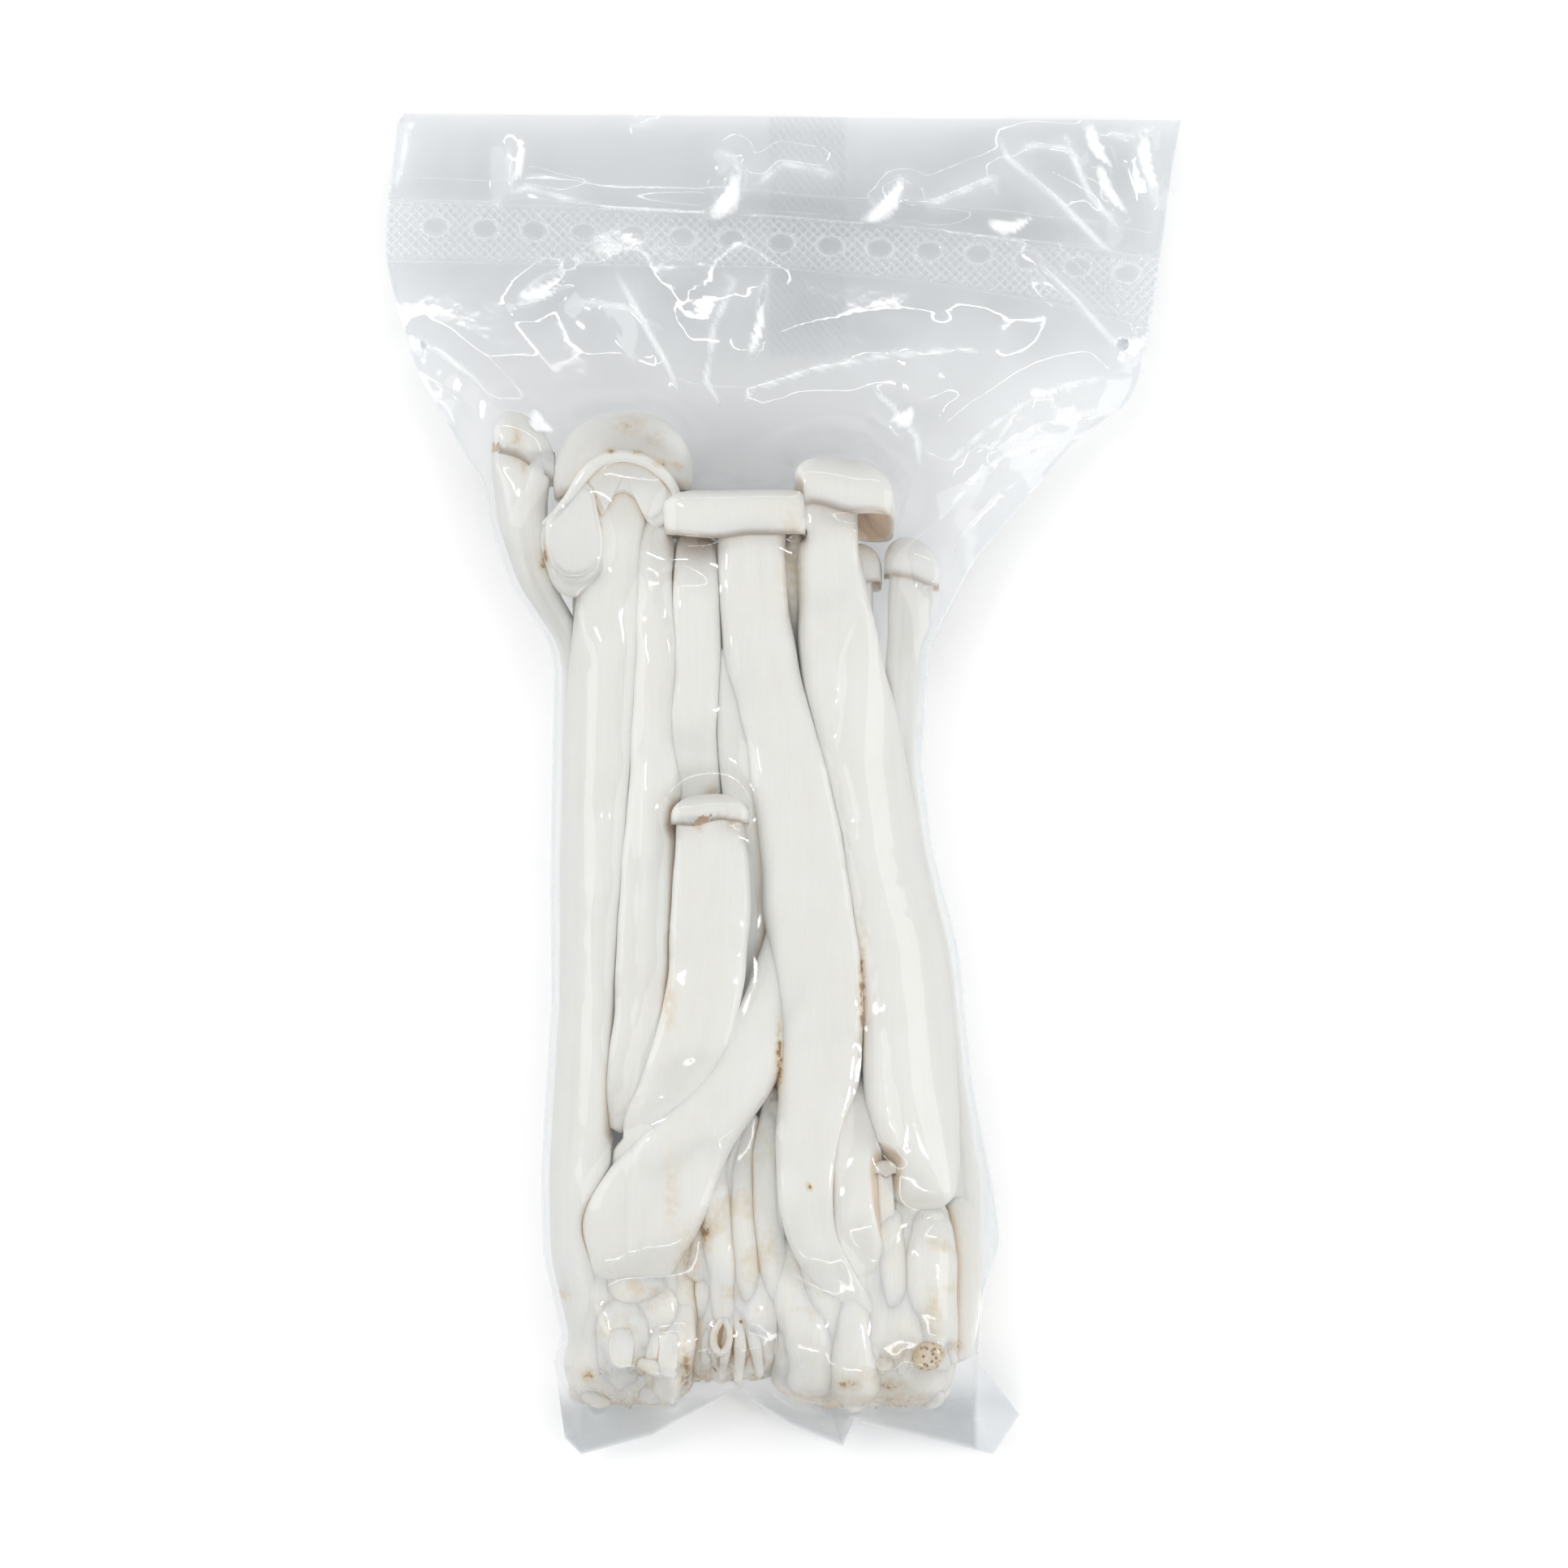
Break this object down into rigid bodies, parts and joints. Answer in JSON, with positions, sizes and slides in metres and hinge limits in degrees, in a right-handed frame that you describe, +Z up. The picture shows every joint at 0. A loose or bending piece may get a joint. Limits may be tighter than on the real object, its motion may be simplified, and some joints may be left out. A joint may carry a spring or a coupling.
{
  "type": "shimeji mushroom bunch",
  "caption": "Bunch of long-stemmed white shimeji mushrooms with torn feet, vacuum-packed in a clear film pouch that lies flat.",
  "frame": {"origin": "centre of the bounding box's bottom, on the surface the pouch lies on", "axes": "+X across the pouch, +Y from the cut feet to the pouch's mouth, +Z up from the surface"},
  "size_m": [0.1218, 0.2051, 0.0297],
  "materials": {
    "mushroom_flesh": "satin",
    "cut_base": "rough torn fibres",
    "clear_film": "clear gloss"
  },
  "bodies": {
    "root": {"pouch_front_film": "clear_film", "pouch_back_film": "clear_film", "mushroom_left_edge": "mushroom_flesh", "mushroom_left_tall": "mushroom_flesh", "mushroom_left_slim": "mushroom_flesh", "mushroom_mid_slim": "mushroom_flesh", "mushroom_center": "mushroom_flesh", "mushroom_front_short": "mushroom_flesh", "mushroom_right_tall": "mushroom_flesh", "mushroom_right_edge": "mushroom_flesh", "mushroom_back_far_left": "mushroom_flesh", "mushroom_back_left": "mushroom_flesh", "mushroom_back_mid": "mushroom_flesh", "mushroom_back_right": "mushroom_flesh", "mushroom_back_far_right": "mushroom_flesh", "stem_cut": "mushroom_flesh", "base_left": "cut_base", "base_middle": "cut_base", "base_right": "cut_base"}
  },
  "joints": []
}
